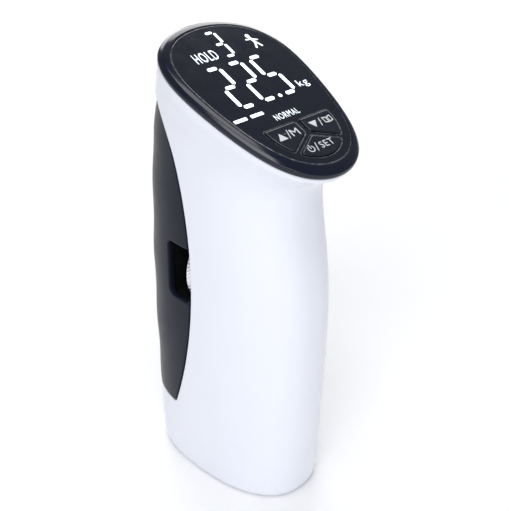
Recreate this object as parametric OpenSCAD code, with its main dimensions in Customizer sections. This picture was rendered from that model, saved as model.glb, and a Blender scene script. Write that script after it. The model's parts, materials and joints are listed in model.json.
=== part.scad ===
/* [Head] */

// Centre of the sloping display face above the table (mm)
face_z = 135; // [120:1:150]
// Distance of the face centre in front of the middle of the base (mm)
face_forward = 11.2; // [0:0.2:20]
// Slope of the display face, rising toward the finger side (degrees)
face_tilt = 26.6; // [10:0.2:40]
// Half length of the egg-shaped face (mm)
face_half = 33; // [28:0.5:38]
// Half width of the face at its middle (mm)
face_wide = 23.1; // [18:0.1:28]
// Height of the flat panel above the rim of the cap (mm)
panel_h = 1.2; // [0.6:0.1:3]
// Thickness of the front panel (mm)
panel_t = 1.6; // [1:0.1:2.5]

/* [Keys] */

// Half width of the three-key field (mm)
key_a = 13; // [10:0.1:16]
// Length of the key field below its top edge (mm)
key_b = 14.2; // [10:0.1:17]
// Place of the top edge of the key field on the face (mm)
key_top = -12.8; // [-16:0.1:-8]
// Place of the point where the three gaps meet (mm)
key_mid = -17.9; // [-22:0.1:-14]
// Distance between two keys, bridged by the web of the panel (mm)
key_gap = 2; // [1.4:0.1:2.4]
// Clearance round each key in its hole (mm)
key_clear = 0.2; // [0.1:0.05:0.3]
// Height of the key tops above the panel (mm)
key_rise = 0.35; // [0:0.05:1]

/* [Digits] */

// Half height of the three large digits (mm)
digit_h = 8; // [5:0.1:10]
// Half width of the large digits between stroke centres (mm)
digit_w = 2.4; // [1.5:0.1:4]
// Stroke width of the large digits (mm)
stroke = 1.3; // [0.8:0.05:2]
// Distance from one large digit to the next (mm)
digit_pitch = 8.55; // [6:0.05:11]

/* [Grip] */

// Radius of the bowed joint line between grip and body (mm)
bow_r = 136.7; // [90:0.1:220]
// Height of the most forward point of the bow (mm)
bow_z = 76.6; // [50:0.1:90]
// Forward reach of the bow behind the middle of the base (mm)
bow_y = 1.9; // [0:0.1:8]
// Lower end of the grip above the table (mm)
grip_lo = 23.8; // [15:0.1:30]
// Upper end of the grip above the table (mm)
grip_hi = 133; // [115:0.1:140]
// Depth of the four finger waves (mm)
wave = 0.55; // [0:0.05:2]
// Distance from one finger wave to the next (mm)
wave_pitch = 25; // [20:0.5:30]
// Running gap round the sliding grip (mm)
run_gap = 0.4; // [0.2:0.05:1]

/* [Span adjuster] */

// Height of the adjuster axis (mm)
wheel_z = 75.5; // [60:0.5:90]
// Radius of the knurled wheel (mm)
wheel_r = 16.6; // [12:0.1:17]
// Front face of the wheel (mm)
wheel_y0 = -3; // [-5:0.1:0]
// Back face of the wheel (mm)
wheel_y1 = 6.8; // [3:0.1:8]
// Number of knurl ridges round the wheel
ridges = 60; // [30:1:90]
// Diameter of the threaded spindle (mm)
spindle_d = 7; // [5:0.5:8]

/* [Walls] */

// Wall of the body shell (mm)
wall = 2; // [1.5:0.1:3]
// Wall of the grip cover (mm)
cover_t = 2.2; // [1.5:0.1:3]

/* [Hidden] */

N = 44;
fc = [0, -face_forward, face_z];
bow_c = bow_y + bow_r;
base_y = 23.4;

// ---- stations of the body: front y, front z, back y, back z, half width, roundness, egg terms
stations = [
  [-28.3,   0.0, 28.3,   0.0, 15.8, 2.4, 0, 0],
  [-29.7,   0.5, 29.6,   0.5, 17.2, 2.4, 0, 0],
  [-30.6,   1.7, 30.5,   1.7, 18.1, 2.4, 0, 0],
  [-31.2,   4.0, 30.9,   4.0, 18.5, 2.4, 0, 0],
  [-31.8,  13.0, 31.2,  13.0, 18.7, 2.4, 0, 0],
  [-32.3,  25.0, 31.5,  25.0, 18.8, 2.4, 0, 0],
  [-32.8,  38.0, 31.8,  38.0, 18.9, 2.4, 0, 0],
  [-33.2,  51.0, 32.0,  51.0, 19.0, 2.4, 0, 0],
  [-33.4,  63.0, 32.0,  63.0, 19.0, 2.4, 0, 0],
  [-33.0,  75.0, 31.9,  75.0, 19.0, 2.4, 0, 0],
  [-31.8,  86.0, 31.5,  86.0, 19.0, 2.4, 0, 0],
  [-30.2,  95.0, 31.0,  96.0, 19.0, 2.4, 0, 0],
  [-29.0, 102.0, 30.4, 105.0, 19.0, 2.4, 0, 0],
  [-28.6, 106.5, 29.6, 113.0, 19.1, 2.36, 0, 0],
  [-28.9, 109.8, 28.5, 120.5, 19.3, 2.30, 0.02, 0.02],
  [-30.0, 112.5, 26.6, 127.0, 19.8, 2.24, 0.06, 0.07],
  [-31.9, 114.5, 24.5, 132.8, 20.6, 2.18, 0.10, 0.12],
  [-34.3, 115.9, 22.5, 137.8, 21.5, 2.10, 0.15, 0.18],
  [-36.8, 116.8, 20.9, 142.0, 22.2, 2.04, 0.18, 0.23],
  [-38.6, 117.5, 19.8, 145.2, 22.7, 2.00, 0.20, 0.27]
];

function sgn(v) = v < 0 ? -1 : 1;
function pw(v, n) = sgn(v) * pow(abs(v), 2 / n);

// one ring of the body, pulled inward by s, optionally with finger waves
function wave_at(z) = wave * (1 - cos(360 * (z - 40) / wave_pitch)) / 2;
function ring(t, s, wv = 0) =
  let (yc = (t[0] + t[2]) / 2, zc = (t[1] + t[3]) / 2,
       len = norm([t[2] - t[0], t[3] - t[1]]),
       ey = (t[2] - t[0]) / len, ez = (t[3] - t[1]) / len, d = len / 2 - s)
  [for (i = [0:N - 1]) let (a = 360 * i / N, u = pw(cos(a), t[5]), q = pw(sin(a), t[5]),
       back = max(0, u) * wv * (wave_at(t[3]) - wave))
    [(t[4] - s) * q * (1 + t[6] * u + t[7] * u * u), yc + (d * u + back) * ey, zc + (d * u + back) * ez]];

// egg outline of the face at scale k
function egg(k, n = N) = [for (i = [0:n - 1]) let (a = 360 * i / n, u = cos(a))
  [k * face_wide * sin(a) * (1 + 0.206 * u + 0.279 * u * u), k * face_half * u]];
function face_pt(p, h) = [p[0], fc[1] + p[1] * cos(face_tilt) - h * sin(face_tilt),
                          fc[2] + p[1] * sin(face_tilt) + h * cos(face_tilt)];
function egg_ring(k, h, n = N) = [for (p = egg(k, n)) face_pt(p, h)];

function mean(r) = [for (j = [0:2]) let (v = [for (p = r) p[j]]) v * [for (p = r) 1] / len(r)];

// closed solid through a stack of rings
module stack(rings) {
  n = len(rings[0]);
  m = len(rings);
  pts = concat([for (r = rings) each r], [mean(rings[0])], [mean(rings[m - 1])]);
  polyhedron(points = pts, faces = concat(
    [for (j = [0:m - 2], i = [0:n - 1]) [j * n + i, j * n + (i + 1) % n, (j + 1) * n + i]],
    [for (j = [0:m - 2], i = [0:n - 1]) [j * n + (i + 1) % n, (j + 1) * n + (i + 1) % n, (j + 1) * n + i]],
    [for (i = [0:n - 1]) [m * n, (i + 1) % n, i]],
    [for (i = [0:n - 1]) [m * n + 1, (m - 1) * n + i, (m - 1) * n + (i + 1) % n]]), convexity = 6);
}

// closed tube through rings that run round and return to the first
module loop(rings) {
  n = len(rings[0]);
  m = len(rings);
  polyhedron(points = [for (r = rings) each r], faces = concat(
    [for (j = [0:m - 1], i = [0:n - 1]) [j * n + i, j * n + (i + 1) % n, ((j + 1) % m) * n + i]],
    [for (j = [0:m - 1], i = [0:n - 1])
      [j * n + (i + 1) % n, ((j + 1) % m) * n + (i + 1) % n, ((j + 1) % m) * n + i]]),
    convexity = 6);
}

module body_solid() {
  stack(concat([for (t = stations) ring(t, 0)], [egg_ring(0.985, -2.9), egg_ring(0.985, -2.3)]));
}

// inside of the body, s below the outer face, from height z0 up through the top
module body_inside(s, z0, top = -1.5) {
  first = [for (t = stations) if (t[1] > 3 && t[1] > z0 + 0.5) t];
  base = [first[0][0], z0, first[0][2], z0, first[0][4], 2.4, 0, 0];
  stack(concat([ring(base, s)], [for (t = first) ring(t, s)],
    [egg_ring(1 - s / 24, -3.2), egg_ring(1 - s / 24, top)]));
}

// cylinder along Y
module ycyl(x, z, y0, y1, d) {
  translate([x, y0, z]) rotate([-90, 0, 0]) cylinder(h = y1 - y0, d = d, $fn = 64);
}
// box given by its limits
module lim(a, b) { translate(a) cube(b - a); }
// bowed zone behind the joint line
module bow(g, z0, z1) {
  intersection() {
    translate([-40, bow_c, bow_z]) rotate([0, 90, 0]) cylinder(h = 80, r = bow_r - g, $fn = 180);
    lim([-30, -20, z0], [30, 60, z1]);
  }
}
module on_face(h) { translate(fc) rotate([face_tilt, 0, 0]) translate([0, 0, h]) children(); }
function bow_at(z, g = 0) = bow_c - sqrt(pow(bow_r - g, 2) - pow(z - bow_z, 2));

// ---- rounded polygon
function unit(v) = v / norm(v);
function fillet(p, r, k = 5) = let (n = len(p)) [for (i = [0:n - 1])
  let (a = p[(i + n - 1) % n], b = p[i], c = p[(i + 1) % n], e = unit(a - b), f = unit(c - b),
       w = acos(max(-1, min(1, e * f))), t = min(r / tan(w / 2), norm(a - b) * 0.49, norm(c - b) * 0.49))
  each (w > 165 ? [b] : [for (j = [0:k]) let (s = j / k)
    (1 - s) * (1 - s) * (b + t * e) + 2 * s * (1 - s) * b + s * s * (b + t * f)])];

// ---- the three keys: 0 left, 1 right, 2 lower; g grows them outward and c toward their neighbours
arm = 27;
function arc_pt(a, g) = [(key_a + g) * cos(a), key_top + 0.3 + (key_b + g) * sin(a)];
function side_key(s, g, c) = let (h = key_gap / 2 - c, x1 = (key_a + g) * cos(asin(-(0.3 - g) / (key_b + g))))
  concat([[s * h, key_top + g], [s * h, key_mid - h * tan(arm) + h / cos(arm)]],
    [for (a = [-42:6:-6]) let (q = arc_pt(a, g)) [s * q[0], q[1]]], [[s * x1, key_top + g]]);
function low_key(g, c) = let (h = key_gap / 2 - c) concat([[0, key_mid - h / cos(arm)]],
    [for (i = [0:10]) arc_pt(-50 + 6 * c - i * (8 + 1.2 * c), g)]);
function key_shape(i, g, c) = fillet(i == 2 ? low_key(g, c) : side_key(i == 0 ? -1 : 1, g, c), 1.1);
function field(g) = fillet(concat([for (a = [-4:-8:-176]) arc_pt(a, g)],
  [[-key_a - g, key_top + g], [key_a + g, key_top + g]]), 1.2);
plunger = [[-7.2, -16.8], [7.2, -16.8], [0, -22.6]];

module key(i) {
  on_face(panel_h + key_rise - 2.2) linear_extrude(height = 2.2) polygon(key_shape(i, 0, 0));
  on_face(-1.3) linear_extrude(height = 0.8) polygon(key_shape(i, 0.8, 0.6));
  on_face(-2.8) translate(plunger[i]) cylinder(h = 1.7, d = 3, $fn = 32);
}

// ---- seven-segment figures
// strokes named by bit: top, upper right, lower right, bottom, lower left, upper left, middle
figs = [[1,1,1,1,1,1,0],[0,1,1,0,0,0,0],[1,1,0,1,1,0,1],[1,1,1,1,0,0,1],[0,1,1,0,0,1,1],
        [1,0,1,1,0,1,1],[1,0,1,1,1,1,1],[1,1,1,0,0,0,0],[1,1,1,1,1,1,1],[1,1,1,1,0,1,1]];
function bar(a, b, w) = let (e = unit(b - a), n = [-e[1], e[0]], h = w / 2,
  p = a + e * w * 0.14, q = b - e * w * 0.14)
  [p, p + e * h + n * h, q - e * h + n * h, q, q - e * h - n * h, p + e * h - n * h];
function seg(k, w, h) = [[[-w, h], [w, h]], [[w, h], [w, 0]], [[w, 0], [w, -h]], [[w, -h], [-w, -h]],
                         [[-w, -h], [-w, 0]], [[-w, 0], [-w, h]], [[-w, 0], [w, 0]]][k];
module figure(n, c, w, h, s) {
  translate(c) for (k = [0:6]) if (figs[n][k] == 1) polygon(bar(seg(k, w, h)[0], seg(k, w, h)[1], s));
}
figure_x = -9.6;
figure_v = 5.4;
module big_digits() {
  figure(2, [figure_x, figure_v], digit_w, digit_h, stroke);
  figure(2, [figure_x + digit_pitch, figure_v], digit_w, digit_h, stroke);
  figure(5, [figure_x + 2 * digit_pitch, figure_v], digit_w, digit_h, stroke);
  translate([figure_x + 1.5 * digit_pitch, figure_v - digit_h]) circle(d = stroke, $fn = 24);
}
module small_digit() { figure(3, [0.6, 21.6], 1.75, 5.2, 0.95); }
module rating_marks() { for (x = [-15.4, -9]) translate([x - 2.4, -6.8]) square([4.8, 1.1]); }

// ---- body shell and frame
module main_housing() {
  color([0.93, 0.94, 0.97]) difference() {
    body_solid();
    difference() {
      body_inside(wall, 2.4, -1);
      // screw posts left standing inside
      for (x = [-9, 9]) translate([x, 21, 0]) cylinder(h = grip_lo - 2.6, d = 6, $fn = 32);
      translate([0, 19.5, grip_hi + 2.6]) cylinder(h = 20, d = 6.4, $fn = 32);
      for (y = [-base_y, base_y]) translate([0, y, 0]) cylinder(h = 5.9, d = 6, $fn = 32);
      for (x = [-6.5, 6.5], z = [32, 90]) ycyl(x, z, -40, -24.1, 5.5);
    }
    bow(-0.2, grip_lo, grip_hi);
    // opening for the base plate
    translate([0, 0, -1]) linear_extrude(height = 2.4)
      polygon([for (p = ring([-28, 0, 28, 0, 15.5, 2.4, 0, 0], 2.4)) [p[0], p[1]]]);
    linear_extrude(height = 3) polygon([for (p = ring([-22, 0, 22, 0, 11, 2.4, 0, 0], 0)) [p[0], p[1]]]);
    // slot of the charging port
    translate([-3, 20, 9]) rotate([-90, 0, 0]) cylinder(h = 16, d = 3.6, $fn = 32);
    translate([3, 20, 9]) rotate([-90, 0, 0]) cylinder(h = 16, d = 3.6, $fn = 32);
    lim([-3, 20, 7.2], [3, 36, 10.8]);
    // screw holes
    for (x = [-9, 9]) translate([x, 21, grip_lo - 11]) cylinder(h = 9, d = 2, $fn = 24);
    translate([0, 19.5, grip_hi + 1.6]) cylinder(h = 7, d = 2, $fn = 24);
    for (y = [-base_y, base_y]) translate([0, y, -1]) cylinder(h = 6.4, d = 2, $fn = 24);
    for (x = [-6.5, 6.5], z = [32, 90]) ycyl(x, z, -27.2, -24, 2);
  }
}

module rear_frame() {
  z0 = wheel_z - wheel_r - 3.2;
  z1 = wheel_z + wheel_r + 3.2;
  color([0.16, 0.17, 0.19]) difference() {
    intersection() {
      body_inside(wall + 0.15, 3, -5);
      union() {
        difference() {
          bow(-3.5, grip_lo - 2.6, grip_hi + 2.6);
          bow(-1, grip_lo - 0.4, grip_hi + 0.4);
          lim([-30, -10, z0 + 1], [30, 60, z1 - 1]);
        }
        lim([-18, -7, z0], [18, bow_at(z0, -1), z0 + 2.2]);
        lim([-18, -7, z1 - 2.2], [18, bow_at(z1, -1), z1]);
        lim([-18, -7, z0], [18, -4.8, z1]);
        ycyl(0, 100, -12, 2.8, 10);
        for (x = [-11.5, 11.5]) ycyl(x, 40, -12, 4.5, 9);
      }
    }
    ycyl(0, wheel_z, -8, -4, 13.5);
    ycyl(0, 100, -13, 8, 7);
    for (x = [-11.5, 11.5]) ycyl(x, 40, -13, 9, 7);
    for (x = [-9, 9]) translate([x, 21, grip_lo - 4]) cylinder(h = 6, d = 2.4, $fn = 24);
    translate([0, 19.5, grip_hi - 1]) cylinder(h = 6, d = 2.4, $fn = 24);
  }
}

module base_plate() {
  color([0.86, 0.87, 0.9]) difference() {
    linear_extrude(height = 1.2)
      polygon([for (p = ring([-28, 0, 28, 0, 15.5, 2.4, 0, 0], 2.6)) [p[0], p[1]]]);
    for (y = [-base_y, base_y]) translate([0, y, -1]) cylinder(h = 4, d = 2.2, $fn = 24);
    for (y = [-base_y, base_y]) translate([0, y, -0.1]) cylinder(h = 0.8, d = 4.1, $fn = 32);
  }
}

module base_screws() {
  color([0.62, 0.63, 0.65]) for (y = [-base_y, base_y]) translate([0, y, 0]) difference() {
    union() {
      translate([0, 0, 0.1]) cylinder(h = 0.6, d = 4, $fn = 32);
      translate([0, 0, 0.6]) cylinder(h = 4.4, d = 2, $fn = 24);
    }
    for (a = [0, 90]) rotate([0, 0, a]) translate([-1.1, -0.2, 0]) cube([2.2, 0.4, 0.35]);
  }
}

module chassis() {
  color([0.7, 0.71, 0.73]) difference() {
    union() {
      lim([-9.5, -24, 26], [9.5, -22, 96]);
      for (s = [-1, 1]) lim([s * 9 - 0.5, -22.5, 50], [s * 9 + 0.5, -12, 84]);
      lim([-4, -22, 27], [4, -20.4, 43]);
    }
    for (x = [-6.5, 6.5], z = [32, 90]) ycyl(x, z, -25, -21, 2.4);
    for (z = [31, 39]) ycyl(0, z, -25, -19, 3.2);
    ycyl(0, wheel_z, -25, -19, 11);
    ycyl(0, 56, -25, -19, 8);
  }
}

module chassis_screws() {
  color([0.62, 0.63, 0.65]) for (x = [-6.5, 6.5], z = [32, 90]) {
    ycyl(x, z, -22, -20.6, 4.4);
    ycyl(x, z, -27, -21.8, 2);
  }
}

module load_cell() {
  color([0.78, 0.79, 0.8]) difference() {
    lim([-6.6, -20.4, 27], [6.6, -8.4, 84]);
    // double bore with a joining slot, the bending part of the cell
    for (z = [50, 60]) translate([-10, -14.4, z]) rotate([0, 90, 0]) cylinder(h = 20, d = 8.4, $fn = 48);
    lim([-10, -15.4, 50], [10, -13.4, 60]);
    ycyl(0, wheel_z, -21, -8, 9);
    for (z = [31, 39]) ycyl(0, z, -21, -8, 3.2);
  }
}

module load_cell_screws() {
  color([0.35, 0.36, 0.38]) for (z = [31, 39]) {
    difference() {
      ycyl(0, z, -8.4, -5.6, 5.5);
      ycyl(0, z, -7, -5, 2.6);
    }
    ycyl(0, z, -24.4, -8.3, 3);
  }
}

module strain_gauges() {
  color([0.8, 0.62, 0.25]) for (z = [50, 60]) {
    lim([-3, -8.4, z - 3], [3, -8.2, z + 3]);
    lim([-3, -20.6, z - 3], [3, -20.4, z + 3]);
  }
}

module thrust_washer() {
  color([0.82, 0.7, 0.42]) difference() {
    ycyl(0, wheel_z, -8.4, -7.8, 14);
    ycyl(0, wheel_z, -9, -7, 9);
  }
}

module bushing(x, z) {
  color([0.75, 0.58, 0.3]) difference() {
    ycyl(x, z, -12, bow_at(z, -1) - 0.3, 7);
    ycyl(x, z, -13, 10, 4.2);
  }
}
module bushing_top() { bushing(0, 100); }
module bushing_left() { bushing(-11.5, 40); }
module bushing_right() { bushing(11.5, 40); }

// ---- power in the foot
module battery_pack() {
  color([0.35, 0.55, 0.72]) union() {
    lim([-9.5, -18, 4.2], [9.5, 14, 12.4]);
    lim([-6, 14, 6], [6, 15.2, 11]);
  }
}

module battery_tray() {
  color([0.2, 0.21, 0.23]) difference() {
    lim([-11, -19.5, 2.5], [11, 16.7, 9.5]);
    lim([-9.6, -18.1, 4.1], [9.6, 15.3, 10]);
    lim([-6, 10, 5.6], [6, 20, 10]);
  }
}

module charging_port() {
  color([0.72, 0.73, 0.75]) difference() {
    hull() for (x = [-2.9, 2.9]) ycyl(x, 9, 22.4, 30.4, 3.2);
    hull() for (x = [-2.9, 2.9]) ycyl(x, 9, 23.2, 31, 2.6);
  }
  color([0.15, 0.15, 0.16]) lim([-2.9, 23.1, 8.65], [2.9, 29.4, 9.35]);
}

module port_board() {
  color([0.1, 0.35, 0.2]) difference() {
    lim([-5.4, 17.2, 6.2], [5.4, 27.6, 7.2]);
    translate([0, 19, 5]) cylinder(h = 4, d = 1.6, $fn = 24);
  }
}

// ---- electronics
module main_board() {
  color([0.1, 0.35, 0.2]) difference() {
    lim([-8, -27.6, 40], [8, -26.2, 74]);
    for (x = [-6.2, 6.2], z = [42, 72]) ycyl(x, z, -30, -20, 2);
  }
}

module main_chips() {
  color([0.08, 0.08, 0.09]) {
    lim([-3.5, -26.2, 55], [3.5, -25, 62]);
    lim([-6.5, -26.2, 46], [-3, -25.2, 50]);
    lim([2, -26.2, 64.5], [6.5, -25.1, 68]);
  }
  color([0.75, 0.76, 0.78]) {
    lim([1, -26.2, 44], [7, -24.6, 48]);
    ycyl(-5, 66, -26.2, -24.5, 4.5);
  }
}

module flat_cable() {
  // folded flexible lead from the main board up to the face board
  color([0.85, 0.6, 0.25]) rotate([90, 0, 90]) translate([0, 0, -3]) linear_extrude(height = 6)
    polygon([[-26.2, 71], [-26, 71], [-25.3, 74], [-25.3, 108], [-26, 117], [-26.2, 117],
      [-25.5, 108], [-25.5, 74]]);
}

module face_board() {
  color([0.08, 0.3, 0.18]) difference() {
    on_face(-6.2) linear_extrude(height = 1.2) polygon(egg(0.76));
    for (x = [-1, 1]) on_face(-8) translate([x * 13, 12]) cylinder(h = 4, d = 2.4, $fn = 24);
  }
}

module light_block() {
  // moulded block that keeps the light of one stroke from its neighbour
  color([0.75, 0.76, 0.78]) difference() {
    on_face(-4.9) linear_extrude(height = 4.4)
      polygon(fillet([[-18.1, -7.5], [-8, -9.4], [13, -9.4], [16.5, -2], [16.5, 12], [12, 24.5],
        [-12, 24.5], [-17.5, 12]], 1.5));
    on_face(-4) linear_extrude(height = 5) {
      big_digits();
      small_digit();
      rating_marks();
    }
  }
}

module key_switches() {
  for (p = plunger) {
    color([0.12, 0.12, 0.13]) on_face(-5) translate([p[0] - 2.25, p[1] - 2.25]) cube([4.5, 4.5, 1.2]);
    color([0.85, 0.86, 0.88]) on_face(-3.85) translate(p) cylinder(h = 0.4, d = 2.4, $fn = 32);
  }
}

module key_mat() {
  color([0.3, 0.31, 0.33]) difference() {
    on_face(-2.75) linear_extrude(height = 0.7) polygon(field(1.2));
    for (p = plunger) on_face(-4) translate(p) cylinder(h = 4, d = 4, $fn = 32);
  }
}

module cap_gasket() {
  color([0.05, 0.05, 0.055]) difference() {
    on_face(-2.3) linear_extrude(height = 0.5) polygon(egg(0.955));
    on_face(-3) linear_extrude(height = 2) polygon(egg(0.895));
  }
}

module display_cap() {
  color([0.03, 0.035, 0.05]) loop([egg_ring(0.985, -1.8), egg_ring(0.998, -1.1), egg_ring(1, -0.5),
    egg_ring(0.995, 0.15),
    egg_ring(0.975, 0.75), egg_ring(0.945, 1.1), egg_ring(0.915, panel_h), egg_ring(0.902, panel_h),
    egg_ring(0.902, panel_h - panel_t), egg_ring(0.868, panel_h - panel_t), egg_ring(0.868, -1.8)]);
}

module front_panel() {
  color([0.02, 0.024, 0.035]) difference() {
    on_face(panel_h - panel_t) linear_extrude(height = panel_t) polygon(egg(0.898));
    on_face(-2) linear_extrude(height = 6) for (i = [0:2]) polygon(key_shape(i, key_clear, key_clear));
    on_face(-2) linear_extrude(height = 6) {
      big_digits();
      small_digit();
      rating_marks();
    }
  }
}

module large_digits() {
  color([0.85, 0.95, 1]) on_face(-3.6) linear_extrude(height = panel_h + 3.6) big_digits();
}
module user_digit() {
  color([0.85, 0.95, 1]) on_face(-3.6) linear_extrude(height = panel_h + 3.6) small_digit();
}
module level_marks() {
  color([0.85, 0.95, 1]) on_face(-3.6) linear_extrude(height = panel_h + 3.6) rating_marks();
}

module frame_screws() {
  color([0.62, 0.63, 0.65]) {
    for (x = [-9, 9]) translate([x, 21, 0]) {
      translate([0, 0, grip_lo - 10]) cylinder(h = 9.7, d = 2, $fn = 24);
      translate([0, 0, grip_lo - 0.4]) cylinder(h = 0.65, d = 4.4, $fn = 32);
    }
    translate([0, 19.5, grip_hi + 0.4]) cylinder(h = 7.4, d = 2, $fn = 24);
    translate([0, 19.5, grip_hi - 0.25]) cylinder(h = 0.65, d = 4.4, $fn = 32);
  }
}

module button_up() { color([0.05, 0.055, 0.075]) key(0); }
module button_down() { color([0.05, 0.055, 0.075]) key(1); }
module button_power() { color([0.05, 0.055, 0.075]) key(2); }

// ---- span adjuster
module adjuster_wheel() {
  color([0.8, 0.82, 0.85]) difference() {
    union() {
      translate([0, wheel_y0 + 0.9, wheel_z]) rotate([-90, 0, 0])
        linear_extrude(height = wheel_y1 - wheel_y0 - 1.8)
        polygon([for (i = [0:2 * ridges - 1]) let (r = i % 2 == 0 ? wheel_r : wheel_r - 0.6)
          r * [cos(180 * i / ridges), sin(180 * i / ridges)]]);
      ycyl(0, wheel_z, wheel_y0, wheel_y1, 2 * (wheel_r - 0.7));
    }
    ycyl(0, wheel_z, wheel_y0 - 1, wheel_y1 + 1, 12);
    ycyl(0, wheel_z, wheel_y1 - 2.4, wheel_y1 + 1, 24);
  }
}

module wheel_hub() {
  color([0.8, 0.66, 0.36]) difference() {
    union() {
      ycyl(0, wheel_z, -7.75, wheel_y1 - 2.4, 12);
      ycyl(0, wheel_z, wheel_y1 - 2.4, wheel_y1 - 1.2, 15);
    }
    ycyl(0, wheel_z, -9, 8, spindle_d + 0.2);
    difference() {
      ycyl(0, wheel_z, -7.55, -7, 13);
      ycyl(0, wheel_z, -7.65, -6.85, 10.8);
    }
  }
}

module retaining_ring() {
  color([0.45, 0.46, 0.48]) difference() {
    ycyl(0, wheel_z, -7.5, -7.05, 14.6);
    ycyl(0, wheel_z, -8, -6.5, 10.9);
    lim([-2.5, -8, wheel_z - 9], [2.5, -6, wheel_z - 4]);
  }
}

// ---- sliding grip
grip_z = [for (z = [16:4:140]) z];
function prof(z, c) = lookup(z, [for (t = stations) if (c == 0) [t[3], t[2]] else [t[3], t[4]]]);
// level sections of the grip, following the back of the body
function grip_ring(z, s, wv) = let (wide = prof(z, 1) - max(0, z - 120) * 0.06)
  ring([-31, z, prof(z, 0), z, wide, 2.4, 0, 0], s, wv);

module grip_cover() {
  color([0.07, 0.075, 0.09]) difference() {
    intersection() {
      stack([for (z = grip_z) grip_ring(z, 0, 1)]);
      bow(0.2, grip_lo + run_gap, grip_hi - run_gap);
    }
    difference() {
      intersection() {
        stack([for (z = [10, 40, 70, 100, 118, 140]) grip_ring(z, cover_t, 0)]);
        bow(-4, grip_lo + run_gap + 1.8, grip_hi - run_gap - 1.8);
      }
      for (z = [32, 120]) ycyl(0, z, bow_at(z) + 4.8, 40, 7);
    }
    for (z = [32, 120]) ycyl(0, z, bow_at(z) + 2, bow_at(z) + 12, 2);
    notch(0);
  }
}

// finger windows that reach the wheel, on both sides
module notch(g) {
  for (s = [0, 1]) mirror([s, 0, 0]) {
    lim([7.5 - g, -10, wheel_z - 7.7 - g], [40, 12.8 + g, wheel_z + 11.7 + g]);
  }
}

module grip_core() {
  color([0.12, 0.125, 0.14]) difference() {
    intersection() {
      stack([for (z = [10, 40, 70, 100, 118, 140]) grip_ring(z, cover_t + 0.1, 0)]);
      bow(0.2, grip_lo + run_gap + 1.9, grip_hi - run_gap - 1.9);
    }
    intersection() {
      bow(3, 0, 140);
      union() {
        lim([-13, 9.8, 90], [13, 60, 95]);
        for (s = [-1, 1]) lim([s * 9 - 4, 9.8, 94], [s * 9 + 4, 60, 106]);
        lim([-13, 0, 105], [13, 60, 128.4]);
        for (s = [-1, 1]) lim([s * 10.2 - 2.8, 15.6, 63], [s * 10.2 + 2.8, 60, 88]);
        lim([-13, 9.8, 46], [13, 60, 59]);
        lim([-6, 0, 35], [6, 60, 47]);
        lim([-13, 0, 27.6], [13, 60, 36]);
      }
    }
    // hollow for the wheel and its windows
    ycyl(0, wheel_z, -5, wheel_y1 + 0.9, 2 * wheel_r + 1.8);
    notch(0);
    ycyl(0, wheel_z, 0, 24, spindle_d);
    ycyl(0, wheel_z, 23, 40, 12);
    ycyl(0, 100, 0, 24, 4);
    for (x = [-11.5, 11.5]) ycyl(x, 40, 0, 19.2, 4);
    for (z = [32, 120]) {
      ycyl(0, z, bow_at(z) - 2, bow_at(z) + 4, 2.4);
      ycyl(0, z, bow_at(z) - 2, bow_at(z) + 1.4, 5);
    }
  }
}

module grip_screws() {
  color([0.5, 0.51, 0.53]) for (z = [32, 120]) {
    ycyl(0, z, bow_at(z) + 0.4, bow_at(z) + 1.4, 4.6);
    ycyl(0, z, bow_at(z) + 1.3, bow_at(z) + 11, 2);
  }
}

module spindle() {
  color([0.72, 0.73, 0.75]) difference() {
    union() {
      ycyl(0, wheel_z, -21, 27.4, spindle_d - 0.8);
      for (k = [0:14]) ycyl(0, wheel_z, -20.6 + k * 2, -19.6 + k * 2, spindle_d);
      ycyl(0, wheel_z, 8, 23.9, spindle_d);
    }
    lim([-4, -22, wheel_z + 3.2], [4, 7, wheel_z + 5]);
  }
}

module spindle_nut() {
  color([0.66, 0.67, 0.7]) translate([0, 24.05, wheel_z]) rotate([-90, 0, 0]) difference() {
    cylinder(h = 2.8, d = 11, $fn = 6);
    translate([0, 0, -1]) cylinder(h = 5, d = spindle_d - 0.8, $fn = 48);
  }
}

module pin(x, z, y1) { color([0.75, 0.76, 0.78]) ycyl(x, z, -20, y1, 4); }
module guide_pin_top() { pin(0, 100, 23.8); }
module guide_pin_left() { pin(-11.5, 40, 19.2); }
module guide_pin_right() { pin(11.5, 40, 19.2); }

main_housing();
rear_frame();
base_plate();
base_screws();
chassis();
chassis_screws();
load_cell();
load_cell_screws();
strain_gauges();
thrust_washer();
bushing_top();
bushing_left();
bushing_right();
battery_pack();
battery_tray();
charging_port();
port_board();
main_board();
main_chips();
flat_cable();
face_board();
light_block();
key_switches();
key_mat();
cap_gasket();
display_cap();
front_panel();
large_digits();
user_digit();
level_marks();
frame_screws();
button_up();
button_down();
button_power();
adjuster_wheel();
wheel_hub();
retaining_ring();
grip_cover();
grip_core();
grip_screws();
spindle();
spindle_nut();
guide_pin_top();
guide_pin_left();
guide_pin_right();
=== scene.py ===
"""Looks of the hand grip dynamometer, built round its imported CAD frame.

Shapes are worked out in millimetres in the frame of the CAD model, +Z up, and piece() turns
them into metres. On the sloping display face a place is (x, v, h): across, up the slope from
the middle of the face, and above the face's plane, which lies PANEL_H under the panel's top.
"""

import json
import math

import bmesh
import bpy
import numpy as np
from mathutils import Matrix, Vector
from mathutils.geometry import tessellate_polygon


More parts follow.
